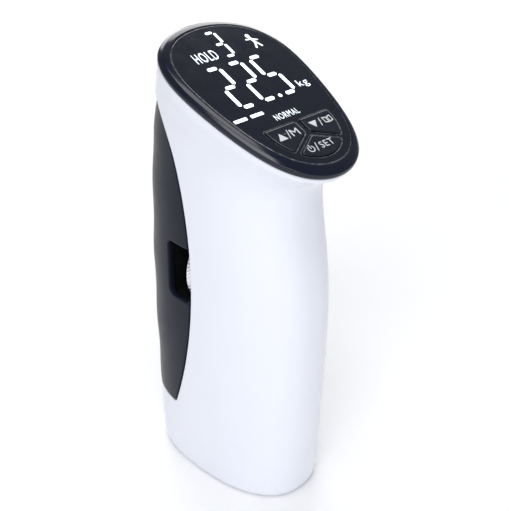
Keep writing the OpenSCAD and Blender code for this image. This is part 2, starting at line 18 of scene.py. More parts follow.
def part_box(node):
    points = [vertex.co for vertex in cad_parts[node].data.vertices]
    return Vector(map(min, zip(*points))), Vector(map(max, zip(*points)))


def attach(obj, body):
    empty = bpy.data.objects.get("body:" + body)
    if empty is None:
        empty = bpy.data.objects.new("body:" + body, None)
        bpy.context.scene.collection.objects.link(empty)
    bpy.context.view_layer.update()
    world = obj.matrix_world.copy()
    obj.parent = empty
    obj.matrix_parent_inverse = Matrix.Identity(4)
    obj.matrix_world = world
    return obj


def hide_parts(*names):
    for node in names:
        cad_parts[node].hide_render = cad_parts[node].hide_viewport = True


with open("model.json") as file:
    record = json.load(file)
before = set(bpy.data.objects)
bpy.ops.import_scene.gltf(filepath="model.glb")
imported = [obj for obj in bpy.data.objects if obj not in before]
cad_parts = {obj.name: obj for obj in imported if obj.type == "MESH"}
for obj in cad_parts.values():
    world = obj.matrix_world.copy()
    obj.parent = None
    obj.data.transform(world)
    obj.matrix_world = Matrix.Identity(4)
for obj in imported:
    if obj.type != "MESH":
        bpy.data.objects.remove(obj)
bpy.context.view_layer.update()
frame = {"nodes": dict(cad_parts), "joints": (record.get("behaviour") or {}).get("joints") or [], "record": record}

MM = 0.001

# ---------------------------------------------------------------- places taken from the frame
joints = {j["name"]: j for j in frame["joints"]}


def box_mm(node):
    """Lowest and highest corner of a CAD node, in millimetres."""
    return [np.array(corner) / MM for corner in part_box(node)]


PRESS = np.array(joints["key_up_press"]["axis"])
TILT = math.atan2(PRESS[1], -PRESS[2])
PANEL_H = 1.2
PANEL_T = 1.6
panel_low, panel_high = box_mm("front_panel")
FACE = (panel_low + panel_high) / 2 + (PANEL_H - PANEL_T / 2) * PRESS
FACE_HALF = 33.0
FACE_WIDE = 23.1
wheel_low, wheel_high = box_mm("adjuster_wheel")
WHEEL_Z = (wheel_low[2] + wheel_high[2]) / 2
WHEEL_R = (wheel_high[2] - wheel_low[2]) / 2
WHEEL_Y = (wheel_low[1], wheel_high[1])

# ---------------------------------------------------------------- driving dimensions, millimetres
BOW_R = 136.7
BOW_Z = 76.6
BOW_C = 1.9 + BOW_R
GRIP_LO = 23.8
GRIP_HI = 133.0
GRIP_GAP = 0.4
GRIP_CORNER = 1.6
JOINT_GAP = 0.2
RECESS_CORNER = 1.0
WAVE = 0.55
WAVE_PITCH = 25.0
WAVE_START = 40.0
SHELL_T = 2.0
SHELL_LIP = 0.35
COVER_T = 2.2
COVER_LIP = 0.32
NOTCH_Y = 2.4
NOTCH_Z = WHEEL_Z + 2.0
NOTCH_HALF_Y = 10.4
NOTCH_HALF_Z = 9.7
NOTCH_CORNER = 2.2
PORT_Z = 9.0
PORT_HALF = 3.0
PORT_R = 1.8
PORT_SIDE_Y = 20.0
PANEL_SCALE = 0.8985
PANEL_BEVEL = 0.32
KEY_A = 13.0
KEY_B = 14.2
KEY_TOP = -12.8
KEY_MID = -17.9
KEY_GAP = 2.0
KEY_CLEAR = 0.2
KEY_RISE = 0.35
KEY_ARM = math.radians(27)
KEY_ARC_DROP = 0.3
KEY_CORNER = 1.1
KEY_FOOT = -0.6
KEY_EDGE = 0.35
KEY_DISH = 0.05
DIGIT_H = 8.0
DIGIT_W = 2.4
DIGIT_STROKE = 1.3
DIGIT_PITCH = 8.55
FIGURE_X = -9.6
FIGURE_V = 5.4
INK_RISE = 0.03
INK_SUNK = 0.12
EGG_1 = 0.206
EGG_2 = 0.279
EGG_POINTS = 220
FLAT_SEAT = 0.985

# front y, front z, back y, back z, half width, roundness and the two egg terms of each level of the body
STATIONS = np.array([
    [-28.3, 0.0, 28.3, 0.0, 15.8, 2.4, 0, 0],
    [-29.7, 0.5, 29.6, 0.5, 17.2, 2.4, 0, 0],
    [-30.6, 1.7, 30.5, 1.7, 18.1, 2.4, 0, 0],
    [-31.2, 4.0, 30.9, 4.0, 18.5, 2.4, 0, 0],
    [-31.8, 13.0, 31.2, 13.0, 18.7, 2.4, 0, 0],
    [-32.3, 25.0, 31.5, 25.0, 18.8, 2.4, 0, 0],
    [-32.8, 38.0, 31.8, 38.0, 18.9, 2.4, 0, 0],
    [-33.2, 51.0, 32.0, 51.0, 19.0, 2.4, 0, 0],
    [-33.4, 63.0, 32.0, 63.0, 19.0, 2.4, 0, 0],
    [-33.0, 75.0, 31.9, 75.0, 19.0, 2.4, 0, 0],
    [-31.8, 86.0, 31.5, 86.0, 19.0, 2.4, 0, 0],
    [-30.2, 95.0, 31.0, 96.0, 19.0, 2.4, 0, 0],
    [-29.0, 102.0, 30.4, 105.0, 19.0, 2.4, 0, 0],
    [-28.6, 106.5, 29.6, 113.0, 19.1, 2.36, 0, 0],
    [-28.9, 109.8, 28.5, 120.5, 19.3, 2.30, 0.02, 0.02],
    [-30.0, 112.5, 26.6, 127.0, 19.8, 2.24, 0.06, 0.07],
    [-31.9, 114.5, 24.5, 132.8, 20.6, 2.18, 0.10, 0.12],
    [-34.3, 115.9, 22.5, 137.8, 21.5, 2.10, 0.15, 0.18],
    [-36.8, 116.8, 20.9, 142.0, 22.2, 2.04, 0.18, 0.23],
    [-38.6, 117.5, 19.8, 145.2, 22.7, 2.00, 0.20, 0.27],
])


# ---------------------------------------------------------------- small geometry
def unit(v):
    """Vectors scaled to length 1."""
    return v / np.maximum(np.linalg.norm(v, axis=-1, keepdims=True), 1e-12)


def on_face(points):
    """Places (x, v, h) on the display face as points of the frame."""
    p = np.asarray(points, float).reshape(-1, 3)
    c, s = math.cos(TILT), math.sin(TILT)
    return np.stack([
        FACE[0] + p[:, 0],
        FACE[1] + p[:, 1] * c - p[:, 2] * s,
        FACE[2] + p[:, 1] * s + p[:, 2] * c,
    ], 1)


def egg(scale, count):
    """Outline of the display face at a scale, as (x, v)."""
    a = np.linspace(0, 2 * math.pi, count, endpoint=False)
    u = np.cos(a)
    return np.stack([
        scale * FACE_WIDE * np.sin(a) * (1 + EGG_1 * u + EGG_2 * u * u),
        scale * FACE_HALF * u,
    ], 1)


def smooth_through(x, y, at):
    """Values at `at` of the smooth curve through (x, y) that doesn't overshoot between its points."""
    step = np.diff(x)[:, None]
    slope = np.diff(y, axis=0) / step
    same = slope[:-1] * slope[1:] > 0
    w1, w2 = 2 * step[1:] + step[:-1], step[1:] + 2 * step[:-1]
    safe = np.where(slope == 0, 1, slope)
    tangent = np.zeros_like(y)
    tangent[1:-1] = np.where(same, (w1 + w2) / (w1 / safe[:-1] + w2 / safe[1:]), 0)
    tangent[0], tangent[-1] = slope[0], slope[-1]
    i = np.clip(np.searchsorted(x, at) - 1, 0, len(x) - 2)
    h = (x[i + 1] - x[i])[:, None]
    t = ((at - x[i]) / (x[i + 1] - x[i]))[:, None]
    return (
        (1 + 2 * t) * (1 - t) ** 2 * y[i]
        + t * (1 - t) ** 2 * h * tangent[i]
        + t * t * (3 - 2 * t) * y[i + 1]
        + t * t * (t - 1) * h * tangent[i + 1]
    )


def rounded(outline, radius, steps=6, straight=165):
    """A closed outline with its corners rounded, by one radius or one for each corner.

    A corner that opens wider than `straight` degrees is left as a point.
    """
    p = np.asarray(outline, float)
    radii = np.broadcast_to(radius, len(p))
    out = []
    for i in range(len(p)):
        a, b, c = p[i - 1], p[i], p[(i + 1) % len(p)]
        e, f = unit(a - b), unit(c - b)
        w = math.acos(max(-1.0, min(1.0, float(e @ f))))
        if w > math.radians(straight):
            out.append(b)
            continue
        longest = min(np.linalg.norm(a - b), np.linalg.norm(b - c)) * 0.49
        reach = min(radii[i] / math.tan(w / 2), longest)
        for s in np.linspace(0, 1, steps):
            out.append((1 - s) ** 2 * (b + reach * e) + 2 * s * (1 - s) * b + s * s * (b + reach * f))
    return np.array(out)


def even(outline, spacing):
    """A closed outline resampled to nearly even steps."""
    p = np.vstack([outline, outline[:1]])
    s = np.r_[0, np.cumsum(np.linalg.norm(np.diff(p, axis=0), axis=1))]
    n = max(12, int(round(s[-1] / spacing)))
    at = np.linspace(0, s[-1], n, endpoint=False)
    return np.stack([np.interp(at, s, p[:, 0]), np.interp(at, s, p[:, 1])], 1)


def inset(outline, by):
    """A smooth closed outline moved inward by a distance, outward if it is negative."""
    p = np.asarray(outline, float)
    t = unit(np.roll(p, -1, 0) - np.roll(p, 1, 0))
    n = np.stack([-t[:, 1], t[:, 0]], 1)
    area = (p[:, 0] * np.roll(p[:, 1], -1) - np.roll(p[:, 0], -1) * p[:, 1]).sum()
    return p + (1 if area > 0 else -1) * by * n


# ---------------------------------------------------------------- making pieces
def piece(name, points, faces, body, finish, replaces=(), tidy=True, flat=False):
    """A finished mesh piece from points in millimetres."""
    mesh = bpy.data.meshes.new(name)
    mesh.from_pydata((np.asarray(points) * MM).tolist(), [], [list(map(int, f)) for f in faces])
    if tidy:
        bm = bmesh.new()
        bm.from_mesh(mesh)
        bmesh.ops.remove_doubles(bm, verts=bm.verts, dist=1e-7)
        bmesh.ops.recalc_face_normals(bm, faces=bm.faces)
        bm.to_mesh(mesh)
        bm.free()
    mesh.polygons.foreach_set("use_smooth", [not flat] * len(mesh.polygons))
    mesh.validate()
    mesh.materials.append(finish)
    obj = bpy.data.objects.new(name, mesh)
    bpy.context.scene.collection.objects.link(obj)
    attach(obj, body)
    if replaces:
        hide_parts(*replaces)
    return obj


class Build:
    """Collects rings of points and the faces between them."""

    def __init__(self):
        self.points = []
        self.faces = []

    def ring(self, points):
        """Adds points and gives their numbers."""
        start = len(self.points)
        self.points.extend(np.asarray(points, float).tolist())
        return list(range(start, len(self.points)))

    def bridge(self, a, b):
        """Faces between two closed rings."""
        for i in range(len(a)):
            j = (i + 1) % len(a)
            self.faces.append([a[i], a[j], b[j], b[i]])

    def strip(self, rings):
        """Faces from each ring to the next."""
        for a, b in zip(rings, rings[1:]):
            self.bridge(a, b)

    def fill(self, outer, holes=()):
        """Closes a flat outline, leaving its holes open."""
        loops = [outer, *holes]
        at = [[Vector(self.points[i]) for i in loop] for loop in loops]
        order = [i for loop in loops for i in loop]
        for t in tessellate_polygon(at):
            self.faces.append([order[i] for i in t])


# ---------------------------------------------------------------- cut shells
def half_ring(level, share, bulge=0.0):
    """Points down one side of a level of the body, from its back (share 0) to its front (share 1)."""
    front_y, front_z, back_y, back_z, width, n, k1, k2 = level
    a = np.linspace(0, math.pi, 721)
    u = np.sign(np.cos(a)) * np.abs(np.cos(a)) ** (2 / n)
    q = np.abs(np.sin(a)) ** (2 / n)
    span = np.array([back_y - front_y, back_z - front_z])
    length = np.linalg.norm(span)
    r = length / 2 * u + np.maximum(0, u) * bulge
    p = np.stack([
        width * q * (1 + k1 * u + k2 * u * u),
        (front_y + back_y) / 2 + r * span[0] / length,
        (front_z + back_z) / 2 + r * span[1] / length,
    ], 1)
    s = np.r_[0, np.cumsum(np.linalg.norm(np.diff(p, axis=0), axis=1))]
    return np.stack([np.interp(share * s[-1], s, p[:, j]) for j in range(3)], 1)


def grid_faces(rows, columns, closed):
    """Faces of a grid of points, closed round its rows or open at their ends."""
    i, j = np.meshgrid(np.arange(columns if closed else columns - 1), np.arange(rows - 1))
    k = (i + 1) % columns
    here, above = j * columns, (j + 1) * columns
    return np.stack([here + i, above + i, above + k, here + k], -1).reshape(-1, 4)


SLIDE_SHARE = 0.32


def clip(points, faces, field):
    """The part of a quad mesh where field(points) is above 0.

    Corners within SLIDE_SHARE of an edge from the cut are first slid onto it.
    """
    p = points.copy()
    f = field(p)
    f[np.abs(f) < 1e-7] = 1e-7
    sides = np.concatenate([faces[:, [i, (i + 1) % 4]] for i in range(4)])
    edges = np.unique(np.sort(sides, 1), axis=0)
    crossed = edges[f[edges[:, 0]] * f[edges[:, 1]] < 0]
    a, b = crossed.T
    s = cut_share(p, field, a, b, f)
    near = {}
    for i, j, t in zip(a, b, s):
        for at, other, d in ((i, j, t), (j, i, 1 - t)):
            if d < SLIDE_SHARE and d < near.get(at, (1, 0))[0]:
                near[at] = (d, other)
    old = p.copy()
    for at, (d, other) in near.items():
        p[at] = old[at] + d * (old[other] - old[at])
        f[at] = 0.0
    keep = f[faces]
    whole = (keep >= 0).all(1) & (keep > 0).any(1)
    out = faces[whole].tolist()
    mixed = faces[(keep > 0).any(1) & (keep < 0).any(1)]
    pairs = sorted({
        tuple(sorted((q[i], q[(i + 1) % 4])))
        for q in mixed.tolist()
        for i in range(4)
        if f[q[i]] * f[q[(i + 1) % 4]] < 0
    })
    new = {}
    if pairs:
        a, b = np.array(pairs).T
        s = cut_share(p, field, a, b, f)
        new = {pair: len(p) + i for i, pair in enumerate(pairs)}
        p = np.vstack([p, p[a] + s[:, None] * (p[b] - p[a])])
    for q in mixed.tolist():
        poly = []
        for i in range(4):
            v, w = q[i], q[(i + 1) % 4]
            if f[v] >= 0:
                poly.append(v)
            if f[v] * f[w] < 0:
                poly.append(new[tuple(sorted((v, w)))])
        if len(poly) > 2:
            out.append(poly)
    used = sorted({v for q in out for v in q})
    number = {v: i for i, v in enumerate(used)}
    return p[used], [[number[v] for v in q] for q in out]


def cut_share(p, field, a, b, f):
    """Where along each edge a-b the field is 0, from 0 to 1."""
    lo, hi = np.zeros(len(a)), np.ones(len(a))
    start = f[a] > 0
    for _ in range(18):
        s = (lo + hi) / 2
        above = field(p[a] + s[:, None] * (p[b] - p[a])) > 0
        lo, hi = np.where(above == start, s, lo), np.where(above == start, hi, s)
    return (lo + hi) / 2


def shell(points, faces, wall, lip):
    """A sheet given a wall inward and a rounded lip along its open edges."""
    normal = np.zeros_like(points)
    for q in faces:
        v = points[q]
        n = np.cross(v - v[0], np.roll(v, -1, 0) - v[0]).sum(0)
        normal[q] += n
    normal = unit(normal)
    directed = {(q[i], q[(i + 1) % len(q)]) for q in faces for i in range(len(q))}
    following = {v: w for v, w in directed if (w, v) not in directed}
    p, out = list(points), list(faces)
    inner = len(p)
    p.extend(points - normal * wall)
    out.extend([[v + inner for v in reversed(q)] for q in faces])
    while following:
        first = next(iter(sorted(following)))
        rim = [first]
        while following[rim[-1]] != first:
            rim.append(following[rim[-1]])
        for v in rim:
            del following[v]
        r = np.array(rim)
        at, n = points[r], normal[r]
        along = unit(np.roll(at, -1, 0) - np.roll(at, 1, 0))
        away = unit(np.cross(along, n))
        for _ in range(2):
            away = unit(np.roll(away, 1, 0) + 2 * away + np.roll(away, -1, 0))
        rows = [r]
        for a in np.linspace(0, math.pi / 2, 5)[1:]:
            rows.append(len(p) + np.arange(len(r)))
            p.extend(at + away * lip * math.sin(a) - n * lip * (1 - math.cos(a)))
        for depth in (lip * 1.3, wall):
            rows.append(len(p) + np.arange(len(r)))
            p.extend(at + away * lip - n * depth)
        rows.append(r + inner)
        for low, high in zip(rows, rows[1:]):
            for i in range(len(r)):
                j = (i + 1) % len(r)
                out.append([int(low[j]), int(low[i]), int(high[i]), int(high[j])])
    return np.array(p), out


def round_max(a, b, radius):
    """The larger of two distances, with the corner where they meet rounded, for a region below 0."""
    x, y = a + radius, b + radius
    return np.minimum(np.maximum(x, y), 0) + np.hypot(np.maximum(x, 0), np.maximum(y, 0)) - radius


def from_bow(p):
    """Distance outside the bowed joint line between grip and body."""
    return np.hypot(p[:, 1] - BOW_C, p[:, 2] - BOW_Z) - BOW_R


FAR = 9.0
MIRROR = np.array([-1, 1, 1])


def housing_field(p):
    """Distance from the openings of the body: the grip's recess, and the port's hole in its back."""
    middle = (GRIP_LO + GRIP_HI) / 2
    above = np.abs(p[:, 2] - middle) - (GRIP_HI - GRIP_LO) / 2
    recess = round_max(from_bow(p) - JOINT_GAP, above, RECESS_CORNER)
    port = np.hypot(np.maximum(np.abs(p[:, 0]) - PORT_HALF, 0), p[:, 2] - PORT_Z) - PORT_R
    port = np.where(p[:, 1] > PORT_SIDE_Y, port, FAR)
    return np.minimum(recess, port) - SHELL_LIP


def make_housing(finish):
    """The white body: rows of points up its levels, finer where it has a small hole or curves most."""
    egg_levels = []
    for h in (-2.9, -2.3):
        ends = on_face([[0, -FLAT_SEAT * FACE_HALF, h], [0, FLAT_SEAT * FACE_HALF, h]])
        egg_levels.append([*ends[0][1:], *ends[1][1:], FLAT_SEAT * FACE_WIDE, 2.0, EGG_1, EGG_2])
    levels = np.vstack([STATIONS, egg_levels])
    ends = levels[:, [0, 1]], levels[:, [2, 3]]
    gap = sum(np.linalg.norm(np.diff(e, axis=0), axis=1) for e in ends) / 2
    at = np.r_[0, np.cumsum(gap)]
    foot_top, port_top, neck = at[3], at[4], at[12]
    rows_at = np.concatenate([
        np.linspace(0, foot_top, 10, endpoint=False),
        np.arange(foot_top, port_top, 0.42),
        np.arange(port_top, neck, 0.95),
        np.linspace(neck, at[-1], 62),
    ])
    rows = smooth_through(at, levels, rows_at)
    back_share = 0.088
    share = np.concatenate([np.arange(0, back_share, 0.0055), np.linspace(back_share, 1, 74)])
    side = np.stack([half_ring(level, share) for level in rows])
    rings = np.concatenate([side, side[:, -2:0:-1] * MIRROR], 1)
    under = [rings[0] * np.array([k, k, 1]) for k in (0.865, 0.91, 0.955)]
    rings = np.concatenate([under, rings])
    faces = grid_faces(len(rings), rings.shape[1], True)
    points, faces = clip(rings.reshape(-1, 3), faces, housing_field)
    points, faces = shell(points, faces, SHELL_T, SHELL_LIP)
    return piece("main_shell", points, faces, "housing", finish, ["main_housing"],
                 tidy=False)


# ---------------------------------------------------------------- grip
def cover_field(p):
    """Distance inside the grip's outline and outside the notch that shows the wheel."""
    middle = (GRIP_LO + GRIP_HI) / 2
    half = (GRIP_HI - GRIP_LO) / 2 - GRIP_GAP
    zone = round_max(from_bow(p) + JOINT_GAP, np.abs(p[:, 2] - middle) - half, GRIP_CORNER)
    beside = np.abs(p[:, 1] - NOTCH_Y) - NOTCH_HALF_Y
    above = np.abs(p[:, 2] - NOTCH_Z) - NOTCH_HALF_Z
    notch = round_max(beside, above, NOTCH_CORNER)
    return np.minimum(-zone, notch) - COVER_LIP


def wave_at(z):
    """How far the finger waves stand out at a height."""
    return WAVE * (1 - np.cos(2 * math.pi * (z - WAVE_START) / WAVE_PITCH)) / 2


def make_cover(finish):
    """The black grip: level rows round the back of the body, narrowing a little near the top."""
    heights = np.arange(GRIP_LO - 1, GRIP_HI + 1.5, 0.8)
    backs = STATIONS[3:, 3]
    back_y = smooth_through(backs, STATIONS[3:, 2:3], heights)[:, 0]
    width = smooth_through(backs, STATIONS[3:, 4:5], heights)[:, 0]
    taper_from, taper = 120, 0.06
    width -= np.maximum(0, heights - taper_from) * taper
    front_y = -31
    share = np.linspace(0, 0.62, 64)
    rows = []
    for z, y, w in zip(heights, back_y, width):
        side = half_ring([front_y, z, y, z, w, 2.4, 0, 0], share, wave_at(z) - WAVE)
        rows.append(np.concatenate([side[::-1] * MIRROR, side[1:]]))
    rings = np.array(rows)
    faces = grid_faces(len(rings), rings.shape[1], False)
    points, faces = clip(rings.reshape(-1, 3), faces, cover_field)
    points, faces = shell(points, faces, COVER_T, COVER_LIP)
    return piece("finger_grip", points, faces, "grip", finish, ["grip_cover"],
                 tidy=False)


# ---------------------------------------------------------------- display
def at_height(outline, h):
    """An outline (x, v) on the display face, as points of the frame at height h above it."""
    return on_face(np.c_[outline, np.full(len(outline), h)])


def make_cap(finish):
    """The rim of the display: a closed cross-section of (scale of the face, h), carried round it."""
    mean_half = 28.0
    corners = [
        (0.984, -1.8, 0.15),
        (0.994, -1.5, 0.3),
        (1.0, -1.0, 0.35),
        (0.9985, -0.55, 0.3),
        (0.993, 0.05, 0.35),
        (0.962, 0.8, 1.5),
        (0.917, 1.2, 1.2),
        (0.9005, 1.2, 0.05),
        (0.9005, -0.4, 0.1),
        (0.868, -0.4, 0.1),
        (0.868, -1.8, 0.1),
    ]
    section = [(scale * mean_half, h) for scale, h, _ in corners]
    radii = [radius for _, _, radius in corners]
    profile = rounded(section, radii, steps=5, straight=180) / [mean_half, 1]
    b = Build()
    rings = [b.ring(at_height(egg(scale, EGG_POINTS), h)) for scale, h in profile]
    b.strip([*rings, rings[0]])
    return piece("display_bezel", b.points, b.faces, "housing", finish, ["display_cap"])


def arc_place(degrees, grow):
    """A place on the arc that bounds the keys below, grown by a clearance."""
    a = math.radians(degrees)
    middle = KEY_TOP + KEY_ARC_DROP
    return [(KEY_A + grow) * math.cos(a), middle + (KEY_B + grow) * math.sin(a)]


def key_outline(i, grow=0.0):
    """Outline of key 0 left, 1 right or 2 lower, grown by a clearance."""
    h = KEY_GAP / 2 - grow
    if i == 2:
        corners = [[0, KEY_MID - h / math.cos(KEY_ARM)]]
        spread = 6 * grow
        corners += [arc_place(a, grow) for a in np.linspace(-50 + spread, -130 - spread, 11)]
    else:
        s = -1 if i == 0 else 1
        edge = (KEY_A + grow) * math.cos(math.asin(-(KEY_ARC_DROP - grow) / (KEY_B + grow)))
        inner_v = KEY_MID - h * math.tan(KEY_ARM) + h / math.cos(KEY_ARM)
        corners = [[s * h, KEY_TOP + grow], [s * h, inner_v]]
        for a in range(-42, -5, 6):
            x, v = arc_place(a, grow)
            corners.append([s * x, v])
        corners.append([s * edge, KEY_TOP + grow])
    return even(rounded(corners, KEY_CORNER), 0.3)


def make_panel(finish):
    """The smoked front panel with a rounded hole for each key."""
    b = Build()

    def side(outline, sign):
        """A bevelled side, with three rings inside the bevel that keep the flat top even."""
        rings = []
        for a in np.linspace(0, math.pi / 2, 4):
            by = sign * PANEL_BEVEL * (1 - math.sin(a))
            h = PANEL_H - PANEL_BEVEL * (1 - math.cos(a))
            rings.append(b.ring(at_height(inset(outline, by), h)))
        for more in (0.08, 0.2, 0.34):
            top = inset(outline, sign * (PANEL_BEVEL + more))
            rings.insert(0, b.ring(at_height(top, PANEL_H)))
        rings.append(b.ring(at_height(outline, PANEL_H - PANEL_T)))
        b.strip(rings)
        return rings

    outer = side(egg(PANEL_SCALE, EGG_POINTS), 1)
    holes = [side(key_outline(i, KEY_CLEAR), -1) for i in range(3)]
    b.fill(outer[0], [h[0] for h in holes])
    b.fill(outer[-1], [h[-1] for h in holes])
    return piece("display_panel", b.points, b.faces, "housing", finish,
                 ["front_panel"])


def make_key(i, name, body, node, finish):
    """A key with a rounded edge and a faintly dished top."""
    b = Build()
    outline = key_outline(i)
    top = PANEL_H + KEY_RISE
    rings = [b.ring(at_height(outline, h)) for h in (KEY_FOOT, top - KEY_EDGE - 0.1)]
    for a in np.linspace(math.pi / 2, 0, 6):
        ring = inset(outline, KEY_EDGE * (1 - math.sin(a)))
        rings.append(b.ring(at_height(ring, top - KEY_EDGE * (1 - math.cos(a)))))
    rim = inset(outline, KEY_EDGE)
    centre = rim.mean(0)
    for k in (0.97, 0.88, 0.7, 0.45, 0.2):
        ring = centre + (rim - centre) * k
        rings.append(b.ring(at_height(ring, top - KEY_DISH * (1 - k * k))))
    b.strip(rings)
    b.fill(rings[-1])
    b.fill(rings[0])
    return piece(name, b.points, b.faces, body, finish, [node])


# ---------------------------------------------------------------- lit figures and words
# for each number, which of seven strokes are lit, in the order that figure() draws them
FIGURES = {2: "1101101", 3: "1111001", 5: "1011011"}


def bar(a, b, width):
    """A straight stroke with pointed ends, each set back from a and b by a share of its width."""
    set_back, point, corner = 0.42, 0.36, 0.2
    a, b = np.array(a, float), np.array(b, float)
    e = unit(b - a)
    n = np.array([-e[1], e[0]]) * width / 2
    p, q = a + e * width * set_back, b - e * width * set_back
    h = e * width * point
    return rounded([p, p + h + n, q - h + n, q, q - h - n, p + h - n], width * corner, 4)


def figure(number, x, v, w, h, stroke):
    """The lit strokes of a seven-segment figure of half width w and half height h."""
    ends = [
        ((-w, h), (w, h)),
        ((w, h), (w, 0)),
        ((w, 0), (w, -h)),
        ((w, -h), (-w, -h)),
        ((-w, -h), (-w, 0)),
        ((-w, 0), (-w, h)),
        ((-w, 0), (w, 0)),
    ]
    middle = np.array([x, v])
    lit = [pair for pair, on in zip(ends, FIGURES[number]) if on == "1"]
    return [bar(middle + a, middle + b, stroke) for a, b in lit]


def disc(x, v, r):
    """A round spot."""
    a = np.linspace(0, 2 * math.pi, 28, endpoint=False)
    return np.stack([x + r * np.cos(a), v + r * np.sin(a)], 1)


def block(corners):
    """A small flat shape with barely rounded corners."""
    return rounded(corners, 0.12, 3)


def capsule(a, b, width):
    """A stroke with round ends."""
    a, b = np.array(a, float), np.array(b, float)
    turn = math.atan2(*(b - a)[::-1])
    r = width / 2
    near = np.linspace(turn + math.pi / 2, turn + 1.5 * math.pi, 7)
    far = np.linspace(turn - math.pi / 2, turn + math.pi / 2, 7)
    return np.concatenate([
        a + r * np.stack([np.cos(near), np.sin(near)], 1),
        b + r * np.stack([np.cos(far), np.sin(far)], 1),
    ])


def ink(name, shapes, base, body, finish, replaces=(), holes=()):
    """Flat shapes printed or lit on the face, standing a hair above height `base`.

    A hole is (number of the shape that it is in, outline).
    """
    b = Build()
    heights = (base - INK_SUNK, base + INK_RISE)
    for k, shape in enumerate(shapes):
        cut = [h for owner, h in holes if owner == k]
        loops = [[b.ring(at_height(s, h)) for h in heights] for s in [shape, *cut]]
        for low, high in loops:
            b.bridge(low, high)
        b.fill(loops[0][1], [h[1] for h in loops[1:]])
        b.fill(loops[0][0], [h[0] for h in loops[1:]])
    return piece(name, b.points, b.faces, body, finish, replaces, flat=True)


def words(name, items, base, body, finish):
    """Plain generic words as raised ink. An item is (text, x, v, height, width, boldness)."""
    points, faces = [], []
    for text, x, v, height, width, bold in items:
        curve = bpy.data.curves.new(name, "FONT")
        curve.body = text
        curve.align_x = "CENTER"
        curve.align_y = "CENTER"
        curve.size = 1.0
        curve.offset = bold
        curve.resolution_u = 4
        curve.extrude = 0.05
        curve.space_character = 1.15
        holder = bpy.data.objects.new(name, curve)
        bpy.context.scene.collection.objects.link(holder)
        bpy.context.view_layer.update()
        shaped = holder.evaluated_get(bpy.context.evaluated_depsgraph_get())
        mesh = shaped.to_mesh()
        p = np.array([w.co for w in mesh.vertices])
        low, high = p.min(0), p.max(0)
        p = (p - (low + high) / 2) / (high - low)
        start = len(points)
        h = base - INK_SUNK + (p[:, 2] + 0.5) * (INK_SUNK + INK_RISE)
        places = np.c_[x + p[:, 0] * width, v + p[:, 1] * height, h]
        points.extend(on_face(places).tolist())
        faces.extend([[start + i for i in q.vertices] for q in mesh.polygons])
        shaped.to_mesh_clear()
        bpy.data.objects.remove(holder)
        bpy.data.curves.remove(curve)
    return piece(name, points, faces, body, finish, flat=True)


# ---------------------------------------------------------------- wheel
def make_wheel(finish):
    """The span wheel: knurled rim, chamfers, bore and a recess in its back."""
    front, back = WHEEL_Y
    bore, groove_in, groove_out, recess = 6.0, 9.0, 13.0, 12.0
    recess_floor = back - 2.4
    profile = [
        (bore, front + 0.2),
        (bore + 0.2, front),
        (groove_in - 0.5, front),
        (groove_in, front + 0.35),
        (groove_out, front + 0.35),
        (groove_out + 0.5, front),
        (WHEEL_R - 1.0, front),
        (WHEEL_R - 0.8, front + 0.06),
        (WHEEL_R - 0.15, front + 0.6),
    ]
    profile += [(WHEEL_R, y) for y in np.arange(front + 0.7, back - 0.69, 0.22)]
    profile += [
        (WHEEL_R - 0.15, back - 0.6),
        (WHEEL_R - 0.8, back - 0.06),
        (WHEEL_R - 1.0, back),
        (recess + 0.3, back),
        (recess, back - 0.3),
        (recess, recess_floor + 0.2),
        (recess - 0.2, recess_floor),
        (bore + 0.2, recess_floor),
        (bore, recess_floor - 0.2),
    ]
    r, y = np.array(profile).T[:, :, None]
    turn = np.linspace(0, 2 * math.pi, 480, endpoint=False)[None, :]
    pitch, depth, sharpness = 1.25, 0.32, 1.6
    teeth = round(2 * math.pi * WHEEL_R / pitch)
    groove = []
    for sign in (1, -1):
        phase = teeth * turn / (2 * math.pi) + sign * y / pitch
        groove.append(np.abs(2 * (phase % 1) - 1) ** sharpness)
    ends = np.clip(np.minimum(y - front - 0.6, back - 0.6 - y) / 0.6, 0.25, 1)
    radius = r - depth * ends * np.maximum(*groove) * (r == WHEEL_R)
    points = np.stack([radius * np.cos(turn), y + 0 * turn, WHEEL_Z + radius * np.sin(turn)], -1)
    b = Build()
    rings = [b.ring(row) for row in points]
    b.strip([*rings, rings[0]])
    return piece("knurled_wheel", b.points, b.faces, "wheel", finish,
                 ["adjuster_wheel"])


# ---------------------------------------------------------------- materials
WORN_EDGES = (0.53, 0.62)


